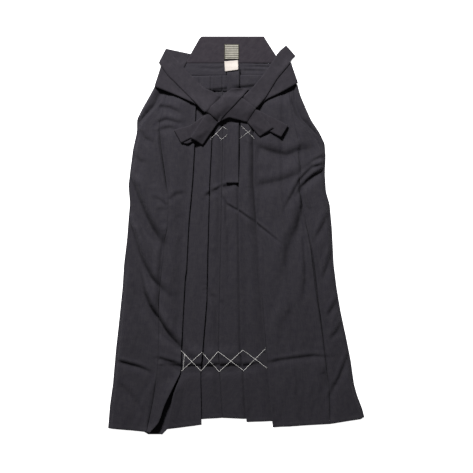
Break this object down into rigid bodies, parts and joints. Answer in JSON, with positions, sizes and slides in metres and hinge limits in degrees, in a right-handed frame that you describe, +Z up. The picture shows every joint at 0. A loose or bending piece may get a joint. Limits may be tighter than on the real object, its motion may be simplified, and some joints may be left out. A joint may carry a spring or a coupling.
{
  "type": "hakama trousers",
  "caption": "Wide pleated hakama trousers lying flat, front up, with the ties folded over the waist and loosely knotted, to dress a wardrobe, shop or training hall.",
  "frame": {"origin": "on the surface it lies on, at the centre of the garment's bounding box seen from above", "axes": "+Y from the hem towards the waist and the back board, +X towards the right as seen from above, +Z up out of the surface, through the cloth's layers"},
  "size_m": [0.694, 1.0772, 0.026],
  "materials": {
    "cloth": "matt, close plain weave, very dark navy to charcoal",
    "tie_cloth": "matt, the same cloth doubled and pressed",
    "patch": "bare woven patch in silver-grey and black yarns, finely ribbed, with a dark edge",
    "label": "plain white woven label"
  },
  "bodies": {
    "root": {"back_left": "cloth", "back_right": "cloth", "gusset_left": "cloth", "gusset_right": "cloth", "front_left_side": "cloth", "front_left_pleats": "cloth", "front_right_pleats": "cloth", "front_right_side": "cloth", "front_waistband": "tie_cloth", "front_tie_left": "tie_cloth", "front_tie_right": "tie_cloth", "back_tie_left": "tie_cloth", "back_tie_right": "tie_cloth", "tie_wrap_left": "tie_cloth", "tie_wrap_right": "tie_cloth", "centre_strip": "tie_cloth", "back_board": "tie_cloth", "back_patch": "patch", "size_label": "label"}
  },
  "joints": []
}
